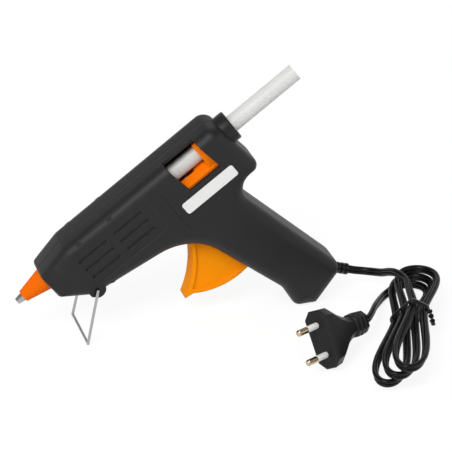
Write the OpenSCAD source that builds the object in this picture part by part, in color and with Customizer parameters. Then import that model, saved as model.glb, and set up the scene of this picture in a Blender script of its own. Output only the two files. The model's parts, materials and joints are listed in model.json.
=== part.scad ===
// Trigger-fed hot glue gun that stands on its wire stand and on the foot of its handle, with a flat
// mains cord tied in a hank and a two-pin plug.
// Gun frame: x runs back along the barrel from the nozzle tip, y points to the right-hand half, z is
// square to both, and the axis of the glue stick is y = 0, z = 0. placed() turns that frame by the
// standing pitch and sets it on the table, z = 0. Cord, hank and plug are laid on the table itself.

/* [Glue stick] */
// Diameter of the glue stick
stick_d = 11; // [10:0.1:11.6]
// Reach of the stick's front end into the melt chamber
stick_in = 35; // [28:0.5:37]
// Length of stick that stands out of the collar
stick_out = 50; // [42:1:54]
// Running gap round the stick
stick_gap = 0.4; // [0.3:0.05:0.5]

/* [Barrel] */
// Angle of the barrel above the table
pitch = 36; // [33:0.5:38]
// Distance from the nozzle tip to the front face of the nose
nose_x = 22; // [20:0.5:24]
// Length of the barrel along its top, nose face to rear face
barrel_len = 141; // [139:0.5:146]
// Height of the barrel's top above the stick axis
barrel_top = 14; // [13.5:0.25:16]
// Depth of the belly below the stick axis at its front end
belly_depth = 24.5; // [24:0.5:26.5]
// Fall of the belly line towards the handle, in degrees
belly_angle = 9.5; // [8.5:0.5:10.5]
// Thickness of the body across both halves
body_w = 33; // [32:0.5:36]
// Rounding of the body's long edges
edge_r = 8; // [6:0.5:9]
// Wall of the housing
wall = 2.5; // [2:0.1:3]
// Depth of the groove along the parting line
parting_groove = 0.4; // [0.2:0.1:0.6]

/* [Nose] */
// Length of the sloped top of the nose
nose_len = 22.5; // [20:0.5:24]
// Height of the nose face above the stick axis
nose_top = 8.6; // [8:0.2:11]
// Depth of the nose face below the stick axis
nose_bottom = 10.5; // [10:0.25:12]
// Length of the sloped bottom of the nose
nose_bottom_len = 16.5; // [15:0.5:18]
// Angle at which each side of the nose tapers in
nose_taper = 16; // [10:1:18]
// Lean of the crease where the taper starts
crease_lean = 25; // [15:1:30]

/* [Handle] */
// Distance from the barrel's rear face to the corner of belly and handle front
grip_back = 55; // [54:0.5:56.5]
// Width of the handle where it leaves the barrel
handle_w = 38; // [37:0.5:42]
// Lean of the handle's front edge
front_lean = 15.7; // [14.5:0.1:16.5]
// Lean of the handle's back edge
back_lean = 12; // [11:0.1:13]
// Depth of the heel's underside below the stick axis
heel_depth = 29.5; // [28.5:0.5:31]
// Lean of the rear face and of the window's ends
rear_lean = 7.5; // [5:0.5:9]
// Depth of the handle's front edge below the stick axis, down to the toe
toe_depth = 110; // [106:1:113]
// Length of the toe's front edge
toe_len = 16.5; // [15:0.5:19]
// Forward lean of the toe's front edge
toe_lean = 5; // [3:0.5:7]
// Length of the flat foot, before its corners are rounded
foot_len = 14; // [12:0.5:16]
// Depth of the handle's rear corner below the stick axis
tail_depth = 126; // [124:0.5:128]

/* [Window, panel and slots] */
// Distance from the barrel's rear face to the window's front edge, at the stick axis
window_front = 38; // [37:0.5:41]
// Length of the window
window_len = 23.4; // [20:0.2:24]
// Depth of the window's sill below the stick axis
window_sill = 8.4; // [7.4:0.2:9]
// Distance of the window's far wall from the middle plane
window_back = 6.4; // [6.2:0.1:8]
// Rear edge of the sunk side panel, from the nozzle tip
panel_x = 101; // [98:0.5:103]
// Depth of the sunk side panel
panel_depth = 0.4; // [0.2:0.1:0.6]
// Length of a cooling slot between its round ends
slot_len = 19.5; // [16:0.5:20]
// Width of a cooling slot
slot_w = 2.4; // [1.6:0.1:3]
// Spacing of the cooling slots
slot_pitch = 7.2; // [5:0.1:7.4]
// Depth of a cooling slot
slot_depth = 1.4; // [0.8:0.1:1.6]

/* [Nozzle and chamber] */
// Radius of the nozzle's tip face
tip_r = 2.1; // [1.6:0.1:2.4]
// Radius of the glue outlet
outlet_r = 0.8; // [0.5:0.1:1.2]
// Length of bare metal tip
tip_len = 5; // [4:0.25:7]
// Radius of the insulating cone at its base
cone_r = 7.4; // [7.2:0.1:7.8]
// Outer radius of the melt chamber
chamber_r = 8.2; // [7.8:0.1:8.5]
// Rear end of the melt chamber, from the nozzle tip
chamber_end = 80; // [77:0.5:82]
// Length of the inlet sleeve behind the chamber
sleeve_len = 16; // [12:0.5:17]
// Thickness of the heating element
heater_t = 3.8; // [3:0.1:4.2]

/* [Feed] */
// Pull of the trigger, in degrees
trigger_pull = 26; // [20:1:27]
// Distance from the barrel's rear face to the trigger's pivot
pivot_back = 49; // [48:0.5:50.5]
// Depth of the trigger's pivot below the stick axis
pivot_depth = 38; // [37.5:0.5:39]
// Distance from the pivot to the drive pin
arm_len = 23; // [22.5:0.25:24]
// Radius of the trigger's lower edge about the pivot
trigger_r = 46.8; // [45:0.2:48]
// Thickness of the trigger
trigger_w = 11.5; // [10.5:0.25:12]
// Width of the rim round the trigger's side panel
trigger_rim = 2.7; // [2:0.1:3.5]
// Radius of the pivot pin
pivot_r = 2; // [1.5:0.1:2.4]
// Radius of the drive pin
drive_r = 1.5; // [1.2:0.1:1.7]
// Distance from the barrel's rear face to the carriage's rear face at rest
carriage_back = 14; // [13:0.25:14.5]
// Length of the carriage
carriage_len = 36; // [35:0.5:37]

/* [Stand] */
// Diameter of the stand's wire
wire_d = 1.8; // [1.4:0.1:2.2]
// Distance from the nozzle tip to the stand's pivot
stand_x = 43; // [42:0.5:44]
// Depth of the stand's pivot below the stick axis
stand_depth = 20.6; // [20:0.1:21.2]
// Radius of the ears that carry the stand
ear_r = 5.6; // [5:0.1:6]
// Width of the stand across its feet
stand_w = 38.4; // [37.4:0.2:44]
// Forward lean of the stand's legs
stand_lean = 12.5; // [8:0.5:16]

/* [Collar] */
// Diameter of the stick guide collar
collar_d = 20; // [19:0.25:21]
// Length of collar outside the rear face
collar_len = 6; // [4:0.5:7]
// Rounding of the collar's rear rim
collar_rim = 0.8; // [0.4:0.1:1.2]

/* [Screws] */
// Radius of the housing screws' heads
screw_head_r = 2.8; // [2.4:0.1:3.1]
// Radius of the housing screws' shanks
screw_r = 1.4; // [1.2:0.1:1.6]
// Radius of the screw bosses
boss_r = 3.8; // [3.5:0.1:4.1]

/* [Cord and plug] */
// Width of the flat cord
cord_w = 5.4; // [4.8:0.1:5.4]
// Thickness of the flat cord
cord_t = 3.4; // [2.8:0.1:3.4]
// Length of the strain relief outside the handle
relief_len = 11; // [8:0.5:12]
// Spacing of the plug's pins
pin_pitch = 18.6; // [17.5:0.1:19.2]
// Diameter of a plug pin
plug_pin_d = 4; // [3.6:0.1:4.4]
// Length of a plug pin
plug_pin_len = 19; // [17:0.5:20]
// Length of the white sleeve on a plug pin
sleeve_on_pin = 10; // [8:0.5:11]

/* [Hidden] */

$fn = 48;

// Clearances
cut_over = 1;
fit_gap = 0.2;
seat_gap = 0.3;
pin_gap = 0.05;
press_gap = 0.02;
half_gap = 0.05;

// Corner points of the body in the gun's side plane, each [x, z, radius, steps]
half_w = body_w / 2;
inner_half = half_w - wall;
rear_x = nose_x + barrel_len;
grip_x = rear_x - grip_back;
window_x = rear_x - window_front;
belly_x = nose_x + nose_bottom_len;
function belly_z(x) = -belly_depth - (x - belly_x) * tan(belly_angle);
function rear_at(z) = rear_x + (barrel_top - z) * tan(rear_lean);
grip_z = belly_z(grip_x);
function front_at(z) = grip_x + (grip_z - z) * tan(front_lean);
throat_x = grip_x + handle_w;
function back_at(z) = throat_x - (heel_depth + z) * tan(back_lean);
heel_x = rear_at(-heel_depth);
toe = [front_at(-toe_depth), -toe_depth];
foot_a = toe - toe_len * [sin(toe_lean), cos(toe_lean)];
foot_b = foot_a + foot_len * [cos(pitch), -sin(pitch)];
tail = [back_at(-tail_depth), -tail_depth];
cavity_front = nose_x + 21.5;
cavity_slope_x = cavity_front + 16.5;
cavity_slope = 2;
back_corners = [
    [grip_x, grip_z, 36, 12],
    [toe.x, toe.y, 15, 4],
    [foot_a.x, foot_a.y, 5, 5],
    [foot_b.x, foot_b.y, 3.5, 5],
    [tail.x, tail.y, 7, 6],
    [throat_x, -heel_depth, 12, 8],
    [heel_x, -heel_depth, 5, 6],
    [rear_x, barrel_top, 8, 8]];
body_corners = concat(
    [[nose_x, -nose_bottom, 2.5, 4], [belly_x, belly_z(belly_x), 6, 3]],
    back_corners,
    [[nose_x + nose_len, barrel_top, 6, 2], [nose_x, nose_top, 2.5, 4]]);
cavity_corners = concat(
    [[cavity_front, belly_z(cavity_front) + cavity_slope, 2.5, 4],
     [cavity_slope_x, belly_z(cavity_slope_x), 6, 3]],
    back_corners,
    [[cavity_slope_x, barrel_top, 6, 2], [cavity_front, barrel_top - cavity_slope, 2.5, 4]]);

// Outline with each corner rounded, moved in by d
function unit(v) = v / norm(v);
function left_of(v) = [-v.y, v.x];
function turned(v, a) = [v.x * cos(a) - v.y * sin(a), v.x * sin(a) + v.y * cos(a)];
function flat(p) = [p[0], p[1]];
min_corner_r = 0.6;
concave_growth = 0.5;
function corner_points(a, b, c, d) =
    let(t1 = unit(flat(b) - flat(a)), t2 = unit(flat(c) - flat(b)),
        n1 = left_of(t1), n2 = left_of(t2),
        v = flat(b) + d * (n1 + n2) / (1 + n1 * n2),
        turn = atan2(t1.x * t2.y - t1.y * t2.x, t1 * t2),
        side = turn > 0 ? 1 : -1,
        r = turn > 0 ? max(b[2] - d, min_corner_r) : b[2] + concave_growth * d,
        centre = v - t1 * r * tan(abs(turn) / 2) + side * r * n1)
    [for (k = [0 : b[3]]) centre + turned(-side * r * n1, turn * k / b[3])];
function outline(corners, d) =
    let(n = len(corners))
    [for (i = [0 : n - 1], p = corner_points(corners[(i + n - 1) % n], corners[i],
                                             corners[(i + 1) % n], d)) p];
function ring(corners, d, y) = [for (p = outline(corners, d)) [p.x, y, p.y]];

// Standing place of the gun frame on the table, with the middle of the gun's length at x = 0
function turned_x(p) = p.x * cos(pitch) - p.y * sin(pitch);
function turned_z(p) = p.x * sin(pitch) + p.y * cos(pitch);
foot_z = turned_z(foot_a);
gun_max_x = max([for (p = outline(body_corners, 0)) turned_x(p)]);
gun_min_x = -tip_r * sin(pitch);
middle_x = (gun_min_x + gun_max_x) / 2;
function on_table(p) = [turned_x(p) - middle_x, turned_z(p) - foot_z];
module placed() translate([-middle_x, 0, -foot_z]) rotate([0, -pitch, 0]) children();

// Triangles of a flat closed outline, found by clipping one ear after another
function spin(a, b, c) = (b.x - a.x) * (c.y - a.y) - (b.y - a.y) * (c.x - a.x);
function holds(a, b, c, p) = spin(a, b, p) >= 0 && spin(b, c, p) >= 0 && spin(c, a, p) >= 0;
function is_ear(pts, left, k) =
    let(n = len(left), ia = left[(k + n - 1) % n], ib = left[k], ic = left[(k + 1) % n],
        a = pts[ia], b = pts[ib], c = pts[ic])
    spin(a, b, c) > 0
    && len([for (i = left) if (i != ia && i != ib && i != ic && holds(a, b, c, pts[i])) i]) == 0;
function next_ear(pts, left, k) = is_ear(pts, left, k) ? k : next_ear(pts, left, k + 1);
function ears(pts, left, done = []) =
    len(left) == 3 ? concat(done, [left]) :
    let(n = len(left), k = next_ear(pts, left, 0))
    ears(pts, [for (i = [0 : n - 1]) if (i != k) left[i]],
         concat(done, [[left[(k + n - 1) % n], left[k], left[(k + 1) % n]]]));
function reversed(face) = [face[2], face[1], face[0]];
function band_faces(m, n) =
    [for (j = [0 : m - 2], i = [0 : n - 1], half = [0, 1])
        let(a = j * n + i, b = j * n + (i + 1) % n)
        half == 0 ? [a, b, b + n] : [a, b + n, a + n]];

// Solid between closed rings of equally many points, each ring flat in y, capped at both ends
module skinned(rings) {
    n = len(rings[0]);
    m = len(rings);
    first = ears([for (p = rings[0]) [p.x, p.z]], [for (i = [0 : n - 1]) i]);
    last = ears([for (p = rings[m - 1]) [p.x, p.z]], [for (i = [0 : n - 1]) i]);
    polyhedron([for (r = rings, p = r) p],
               concat(band_faces(m, n), [for (f = first) reversed(f)],
                      [for (f = last) f + (m - 1) * n * [1, 1, 1]]));
}

// Tube of a [side, up] section along a route, with its up side kept towards the given direction
function heading(route, i) = unit(route[min(i + 1, len(route) - 1)] - route[max(i - 1, 0)]);
function tube_ring(route, i, section, above) =
    let(t = heading(route, i), side = unit(cross(above, t)), up = cross(t, side))
    [for (q = section) route[i] + q.x * side + q.y * up];
module tube(route, section, above = [0, 0, 1]) {
    n = len(section);
    m = len(route);
    polyhedron([for (i = [0 : m - 1], p = tube_ring(route, i, section, above)) p],
               concat([for (f = band_faces(m, n)) reversed(f)],
                      [[for (i = [0 : n - 1]) i],
                       [for (i = [n - 1 : -1 : 0]) (m - 1) * n + i]]));
}
function round_section(r, sides) =
    [for (k = [0 : sides - 1]) r * [cos(360 * k / sides), sin(360 * k / sides)]];

// Cylinder across the body, from y0 to y1 at [x, z]
module cross_rod(p, r, y0, y1)
    translate([p.x, y0, p.y]) rotate([-90, 0, 0]) cylinder(r = r, h = y1 - y0);
// Cylinder along the barrel, from x0 to x1
module barrel_rod(r, x0, x1)
    translate([x0, 0, 0]) rotate([0, 90, 0]) cylinder(r = r, h = x1 - x0);
// Solid of revolution about the stick axis from [x, radius] points
module barrel_turned(profile)
    rotate([0, 90, 0]) rotate_extrude() polygon([for (p = profile) [p.y, p.x]]);
// Box between two corners
module box(low, high) translate(low) cube(high - low);
// Plate across the body from [x, z] points, between y0 and y1
module plate(points, y0, y1)
    translate([0, y1, 0]) rotate([90, 0, 0]) linear_extrude(y1 - y0) polygon(points);

// Places that several pieces share
stick_r = stick_d / 2;
stick_bore = stick_r + stick_gap;
collar_r = collar_d / 2;
collar_end = rear_at(0) + collar_len;
collar_start = rear_x - 7;
stick_back = collar_end + stick_out;
stick_front = chamber_end - stick_in;
cone_seat = nose_x + 5;
pivot = [rear_x - pivot_back, -pivot_depth];
arm_start = 90 - trigger_pull / 2;
drive = pivot + arm_len * [cos(arm_start), sin(arm_start)];
carriage_travel = 2 * arm_len * sin(trigger_pull / 2);
carriage_x = rear_x - carriage_back;
carriage_front = carriage_x - carriage_len;
ledge_z = -13.3;
ledge_t = 2.2;
ledge_inner = 8.2;
hub_r = 5.6;
trigger_rear = 288;
lead_r = 0.9;
stand_pivot = [stand_x, -stand_depth];
wire_r = wire_d / 2;
spring_z = -22.8;
spring_post = [carriage_x - 7, spring_z];
spring_post_r = 1.8;
screw_points = [
    [stand_x + 11, -stand_depth - 0.6],
    [grip_x - 11, grip_z + 9],
    [heel_x - 11.5, 7.5 - heel_depth],
    [back_at(-84) - 11.5, -84],
    [back_at(-104) - 18, -104]];

// Cord exit at the handle's rear end, below the corner of the back edge
exit_step = 7;
exit_drop = 18;
rear_end = unit(foot_b - tail);
exit_point = tail + exit_step * rear_end;
exit_turn = -exit_drop - pitch;
exit_dir = [cos(exit_turn), sin(exit_turn)];
relief_r = 3.7;
relief_inside = 7;
relief_outside = relief_len + 1;
exit_across = left_of(exit_dir);
relief_back = exit_point - relief_inside * exit_dir;
clamp_at = relief_back - 7 * exit_dir;
cord_start = on_table(exit_point + relief_outside * exit_dir);
module along_exit() placed() translate([exit_point.x, 0, exit_point.y])
    rotate([0, 90 - exit_turn, 0]) children();

// Trigger's swept slot: a wedge about the pivot from its front edge to the end of the pull
slot_start = 178;
slot_end = trigger_rear + trigger_pull + 3;
slot_steps = 20;
slot_side_gap = 0.5;
slot_edge_gap = 1.2;
slot_half = trigger_w / 2 + slot_side_gap;
module trigger_slot() {
    arc = [for (k = [0 : slot_steps]) let(a = slot_start + (slot_end - slot_start) * k / slot_steps)
        pivot + (trigger_r + slot_edge_gap) * [cos(a), sin(a)]];
    plate(concat([pivot], arc), -slot_half, slot_half);
    cross_rod(pivot, hub_r + slot_edge_gap, -slot_half, slot_half);
}

// Half of the moulded housing, as an outer and an inner skin that meet at the parting plane
round_steps = 6;
inner_steps = 3;
module half_shell() {
    inner_r = edge_r - wall;
    outer = concat(
        [for (k = [round_steps : -1 : 0]) let(a = 90 * k / round_steps)
            ring(body_corners, edge_r * (1 - cos(a)), -(half_w - edge_r) - edge_r * sin(a))],
        [ring(body_corners, 0, -parting_groove), ring(body_corners, parting_groove, 0)]);
    inner = concat([ring(cavity_corners, wall, 0)],
        [for (k = [0 : inner_steps]) let(a = 90 * k / inner_steps)
            ring(cavity_corners, wall + inner_r * (1 - cos(a)),
                 -(half_w - edge_r) - inner_r * sin(a))]);
    skinned(concat(outer, inner));
}

// Everything that both halves share, drawn on the left-hand side, y < 0
root_y = inner_half + 0.6;
rib_t = 3;
rib_bottom = -9;
rib_xs = [chamber_end - 28, chamber_end - 4];
ear_step = 0.2;
ear_root = 6;
ear_groove = 0.9;
module housing_half() difference() {
    union() {
        half_shell();
        cross_rod(stand_pivot, ear_r, -half_w + ear_step, -ear_root);
        for (p = screw_points) cross_rod(p, boss_r, -root_y, -half_gap);
        cross_rod(pivot, hub_r - 0.4, -root_y, -trigger_w / 2 - seat_gap);
        cross_rod(spring_post, spring_post_r, -root_y, -half_gap);
        box([carriage_front - carriage_travel - 2, -root_y, ledge_z - ledge_t],
            [carriage_x + 2, -ledge_inner, ledge_z]);
        for (x = rib_xs)
            box([x, -root_y, rib_bottom], [x + rib_t, -half_gap, barrel_top - wall + 0.5]);
    }
    barrel_rod(cone_r + fit_gap, nose_x - cut_over, cone_seat);
    barrel_rod(chamber_r + fit_gap, cone_seat - half_gap, chamber_end + cut_over);
    barrel_rod(collar_r + fit_gap, collar_start, collar_end + cut_over);
    trigger_slot();
    cross_rod(pivot, pivot_r + press_gap, -inner_half + 1, 0);
    cross_rod(stand_pivot, wire_r + pin_gap, -half_w - cut_over, -stand_hook);
    ear_slot();
    cord_hole();
    nose_cut();
    side_panel();
    side_slots();
}

// Shallow groove in the ear behind the stand's leg
module ear_slot() translate([stand_pivot.x, 0, stand_pivot.y]) rotate([0, stand_lean + pitch, 0])
    box([-wire_r - seat_gap, -half_w - cut_over, -2 * ear_r],
        [wire_r + seat_gap, -half_w + ear_step + ear_groove, wire_r]);

module cord_hole() translate([exit_point.x, 0, exit_point.y]) rotate([0, 90 - exit_turn, 0])
    translate([0, 0, -relief_inside - cut_over]) cylinder(r = relief_r + fit_gap, h = relief_inside + 12);

crease_back = 1;
module nose_cut()
    translate([nose_x + nose_len + crease_back, -half_w, barrel_top]) rotate([0, crease_lean, 0])
        rotate([0, 0, -nose_taper]) box([-90, -40, -90], [0, 0, 60]);

panel_top = 7.5;
panel_bottom = -18.5;
panel_front = nose_x + nose_len + 2;
panel_r = 4;
step_x = panel_x + 10;
step_w = 0.7;
module side_panel() {
    y0 = -half_w - cut_over;
    y1 = -half_w + panel_depth;
    box([panel_front, y0, panel_bottom + panel_r], [panel_x, y1, panel_top]);
    box([panel_front, y0, panel_bottom], [panel_x - panel_r, y1, panel_top]);
    cross_rod([panel_x - panel_r, panel_bottom + panel_r], panel_r, y0, y1);
    box([step_x - step_w, y0, -31], [step_x, y1, barrel_top - 3]);
}

slot_columns = [panel_x - 44, panel_x - 16.5];
slot_top = 2.4;
module side_slots()
    for (x = slot_columns, k = [0 : 2]) translate([x, 0, slot_top - k * slot_pitch]) {
        box([-slot_len / 2, -half_w - cut_over, -slot_w / 2],
            [slot_len / 2, -half_w + slot_depth, slot_w / 2]);
        for (s = [-1, 1])
            cross_rod([s * slot_len / 2, 0], slot_w / 2, -half_w - cut_over, -half_w + slot_depth);
    }

module window_cut() {
    low = -window_sill;
    high = barrel_top + cut_over;
    lean = tan(rear_lean);
    plate([[window_x - low * lean, low], [window_x + window_len - low * lean, low],
           [window_x + window_len - high * lean, high], [window_x - high * lean, high]],
          -half_w - cut_over, -window_back);
}

screw_tip = -10;
clamp_pitch = 11;
clamp_points = [for (s = [-1, 1]) clamp_at + s * clamp_pitch / 2 * exit_across];
clamp_boss_y = lead_r + half_gap;
clamp_boss_r = 2.6;
module left_housing() color("#353233") placed() difference() {
    union() {
        housing_half();
        for (p = clamp_points) cross_rod(p, clamp_boss_r, -root_y, clamp_boss_y);
        cross_rod(clamp_at, clamp_boss_r, -root_y, -lead_r - half_gap);
    }
    window_cut();
    for (p = screw_points) cross_rod(p, screw_r + pin_gap, screw_tip - 1, 1);
    for (p = clamp_points)
        cross_rod(p, clamp_screw_r + pin_gap, clamp_tip - 1, clamp_boss_y + cut_over);
}

head_y = half_w - 5;
head_h = 2.2;
module right_housing() color("#353233") placed() difference() {
    mirror([0, 1, 0]) housing_half();
    for (p = screw_points) {
        cross_rod(p, screw_r + pin_gap, -cut_over, half_w + cut_over);
        cross_rod(p, screw_head_r + fit_gap, head_y, half_w + cut_over);
    }
}

// Cross-slotted screw with its head at y = head
module cross_screw(p, shank, tip, head, r, h) difference() {
    union() {
        cross_rod(p, shank, tip, head + h / 2);
        cross_rod(p, r, head, head + h);
    }
    for (a = [0, 90]) translate([p.x, head + h / 2, p.y]) rotate([0, a, 0])
        box([-0.65 * r, 0, -0.13 * r], [0.65 * r, h, 0.13 * r]);
}
module housing_screws() color("#8b8d90") placed()
    for (p = screw_points) cross_screw(p, screw_r, screw_tip, head_y, screw_head_r, head_h);

// Nozzle, insulator and heated chamber
thread_r = 4;
thread_len = 4;
thread_end = cone_seat + thread_len;
tip_flare = 0.9;
tip_root = tip_r + 2.4;
outlet_len = 6;
module nozzle_tip() color("#c9cbcc") placed() difference() {
    barrel_turned([[0, 0], [0, tip_r], [tip_len, tip_r + tip_flare], [cone_seat, tip_root],
                   [cone_seat, thread_r], [thread_end, thread_r], [thread_end, 0]]);
    barrel_rod(outlet_r, -cut_over, outlet_len);
    barrel_turned([[outlet_len - half_gap, 0], [outlet_len - half_gap, outlet_r],
                   [thread_end + half_gap, thread_r - 1], [thread_end + half_gap, 0]]);
}

cone_lip = 0.9;
module nozzle_insulator() color("#ff7300") placed() difference() {
    barrel_turned([[tip_len, 0], [tip_len, tip_r + tip_flare + cone_lip], [nose_x - 0.5, cone_r],
                   [cone_seat, cone_r], [cone_seat, 0]]);
    barrel_turned([[0, 0], [0, tip_r + fit_gap], [tip_len, tip_r + tip_flare + fit_gap],
                   [cone_seat, tip_root + fit_gap], [cone_seat + cut_over, tip_root + fit_gap],
                   [cone_seat + cut_over, 0]]);
}

jacket_end = chamber_end - 6;
jacket_len = 18;
jacket_half = 6.6;
heater_half = 5;
heater_top = -chamber_r - 2.2;
heater_over = 2;
jacket_z = heater_top - heater_t - 1.8;
module melt_chamber() color("#b9bbbd") placed() difference() {
    union() {
        barrel_rod(chamber_r, cone_seat, chamber_end);
        box([jacket_end - jacket_len, -jacket_half, jacket_z], [jacket_end, jacket_half, 0]);
    }
    barrel_rod(thread_r + press_gap, cone_seat - cut_over, thread_end);
    barrel_rod(thread_r - 1, thread_end - half_gap, thread_end + 4);
    barrel_rod(stick_bore, thread_end + 2, chamber_end + cut_over);
    box([jacket_end - jacket_len - cut_over, -heater_half - fit_gap, heater_top - heater_t - fit_gap],
        [jacket_end + cut_over, heater_half + fit_gap, heater_top + fit_gap]);
}

module ptc_heater() color("#e8e4da") placed()
    box([jacket_end - jacket_len - heater_over, -heater_half, heater_top - heater_t],
        [jacket_end + heater_over, heater_half, heater_top]);

clamp_wall = 1.2;
clamp_in = 4;
module heater_clamp() color("#a8acb0") placed() difference() {
    box([jacket_end - jacket_len + clamp_in, -jacket_half - clamp_wall, jacket_z - clamp_wall],
        [jacket_end - clamp_in, jacket_half + clamp_wall, heater_top]);
    box([jacket_end - jacket_len, -jacket_half - fit_gap, jacket_z - fit_gap],
        [jacket_end, jacket_half + fit_gap, heater_top + cut_over]);
}

module inlet_sleeve() color("#c9b8a0") placed() difference() {
    barrel_rod(chamber_r - 0.6, chamber_end, chamber_end + sleeve_len);
    barrel_rod(stick_bore, chamber_end - cut_over, chamber_end + sleeve_len + cut_over);
}

// Carriage that feeds the stick, with its gripping jaw
floor_z = ledge_z + seat_gap;
floor_t = 6.6;
floor_top = floor_z + floor_t;
cradle_half = 4.6;
cradle_fall = 2;
carriage_half = 11.5;
plate_half = 10.5;
plate_top = 9;
plate_t = 5;
lug_in = 4.6;
lug_out = 7.6;
lug_len = 9;
lug_z = drive.y - 4;
pin_room = 0.5;
jaw_pin_up = 1.75;
jaw_at = [carriage_x - 20, floor_z + jaw_pin_up];
jaw_half = 3.6;
jaw_room = 6;
jaw_pin_r = 1.1;
jaw_pin_half = 10.5;
module carriage() color("#ff8a1c") placed() difference() {
    union() {
        translate([carriage_front, 0, 0]) rotate([90, 0, 90]) linear_extrude(carriage_len) polygon([
            [-carriage_half, floor_z], [carriage_half, floor_z], [carriage_half, floor_top - cradle_fall],
            [cradle_half, floor_top], [-cradle_half, floor_top], [-carriage_half, floor_top - cradle_fall]]);
        box([carriage_x - plate_t, -plate_half, floor_z], [carriage_x, plate_half, plate_top]);
        for (s = [0, 1]) mirror([0, s, 0])
            box([carriage_front, lug_in, lug_z], [carriage_front + lug_len, lug_out, floor_z + 1]);
    }
    barrel_rod(stick_bore + fit_gap, carriage_x - plate_t - cut_over, carriage_x + cut_over);
    box([drive.x - drive_r - seat_gap, -carriage_half, lug_z - cut_over],
        [drive.x + drive_r + seat_gap, carriage_half, pivot.y + arm_len + drive_r + pin_room]);
    box([carriage_front - cut_over, -lug_in, floor_z - cut_over],
        [carriage_front + lug_len + 1, lug_in, floor_top + cut_over]);
    box([jaw_at.x - jaw_room, -jaw_half - seat_gap, floor_z - cut_over],
        [jaw_at.x + jaw_room, jaw_half + seat_gap, floor_top + cut_over]);
    cross_rod(jaw_at, jaw_pin_r + press_gap, -carriage_half - cut_over, carriage_half + cut_over);
}

jaw_lean = 12;
jaw_hub_r = 2.6;
jaw_blade = 1.2;
jaw_root = jaw_pin_r + 0.5;
jaw_gap = 0.8;
module grip_jaw() color("#9a9da1") placed() difference() {
    union() {
        cross_rod(jaw_at, jaw_hub_r, -jaw_half, jaw_half);
        translate([jaw_at.x, 0, jaw_at.y]) rotate([0, -jaw_lean, 0])
            box([-jaw_blade, -jaw_half, jaw_root], [jaw_blade, jaw_half, -stick_r - jaw_gap - jaw_at.y]);
    }
    cross_rod(jaw_at, jaw_pin_r + pin_gap, -jaw_half - cut_over, jaw_half + cut_over);
}
module jaw_pin() color("#b4b7ba") placed() cross_rod(jaw_at, jaw_pin_r, -jaw_pin_half, jaw_pin_half);

// Trigger: a sector about the pivot with a hollowed front, a drawn-out tip and a drive arm
trigger_tip = pivot + [-36, -35];
trigger_top = pivot + [-12.5, -10.5];
trigger_hollow = 2.2;
trigger_reach = 70;
tip_blunt = [2.6, -0.4];
tip_foot = [[8, -1.2], [8, 8]];
panel_in = 1.4;
arm_half_w = 3.4;
arm_half_t = 4.1;
arm_over = 2.4;
module trigger() color("#ff9500") placed() {
    half = trigger_w / 2;
    chord = trigger_tip - trigger_top;
    hollow_r = (chord * chord / 4 + trigger_hollow * trigger_hollow) / (2 * trigger_hollow);
    away = unit([chord.y, -chord.x]);
    hollow_at = (trigger_top + trigger_tip) / 2 + away * (hollow_r - trigger_hollow);
    rear_edge = pivot + trigger_reach * [cos(trigger_rear), sin(trigger_rear)];
    difference() {
        union() {
            difference() {
                union() {
                    intersection() {
                        cross_rod(pivot, trigger_r, -half, half);
                        plate([pivot + [0, 4], pivot + [-trigger_reach, 4], pivot - trigger_reach * [1, 1],
                               [rear_edge.x, pivot.y - trigger_reach], rear_edge, pivot + [4, 0]],
                              -half, half);
                    }
                    plate([trigger_tip, trigger_tip + tip_blunt, trigger_tip + tip_foot[0],
                           trigger_tip + tip_foot[1]], -half, half);
                }
                cross_rod(hollow_at, hollow_r, -half - cut_over, half + cut_over);
            }
            cross_rod(pivot, hub_r, -half, half);
            translate([pivot.x, 0, pivot.y]) rotate([0, 90 - arm_start, 0])
                box([-arm_half_w, -arm_half_t, 0], [arm_half_w, arm_half_t, arm_len + arm_over]);
        }
        for (s = [-1, 1]) translate([0, s * half, 0]) difference() {
            cross_rod(pivot, trigger_r - trigger_rim, -panel_in, panel_in);
            cross_rod(hollow_at, hollow_r + trigger_rim, -2 * panel_in, 2 * panel_in);
            cross_rod(pivot, hub_r + trigger_rim, -2 * panel_in, 2 * panel_in);
            box([pivot.x - trigger_reach, -2 * panel_in, pivot.y - hub_r],
                [pivot.x + trigger_reach, 2 * panel_in, pivot.y + trigger_reach]);
        }
        cross_rod(pivot, pivot_r + pin_gap, -half - cut_over, half + cut_over);
        cross_rod(drive, drive_r + press_gap, -half, half);
    }
}
module trigger_pivot_pin() color("#b4b7ba") placed()
    cross_rod(pivot, pivot_r, -inner_half + 1.2, inner_half - 1.2);
module drive_pin() color("#b4b7ba") placed() cross_rod(drive, drive_r, -lug_out, lug_out);

// Return spring from the trigger's arm back to the post in the handle's root
spring_wire = 0.45;
spring_coil_r = 2;
spring_turns = 11;
spring_rings = 8;
spring_tail = 2 * spring_wire;
spring_front = pivot.x + (spring_z - pivot.y) / tan(arm_start) + arm_half_w / sin(arm_start) + seat_gap;
spring_end = spring_post.x - spring_post_r - seat_gap;
spring_pitch = (spring_end - spring_front - 2 * spring_wire) / spring_turns;
function spring_point(k) = let(a = 360 * k / spring_rings)
    [spring_front + spring_wire + spring_pitch * k / spring_rings,
     spring_coil_r * sin(a), spring_z + spring_coil_r * (cos(a) - 1)];
module return_spring() color("#a8acb0") placed() {
    last = spring_turns * spring_rings;
    coil = [for (k = [0 : last]) spring_point(k)];
    tube(concat([coil[0] - [0, spring_tail, 0]], coil, [coil[last] + [0, spring_tail, 0]]),
         round_section(spring_wire, 6), [1, 0, 0]);
}

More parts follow.
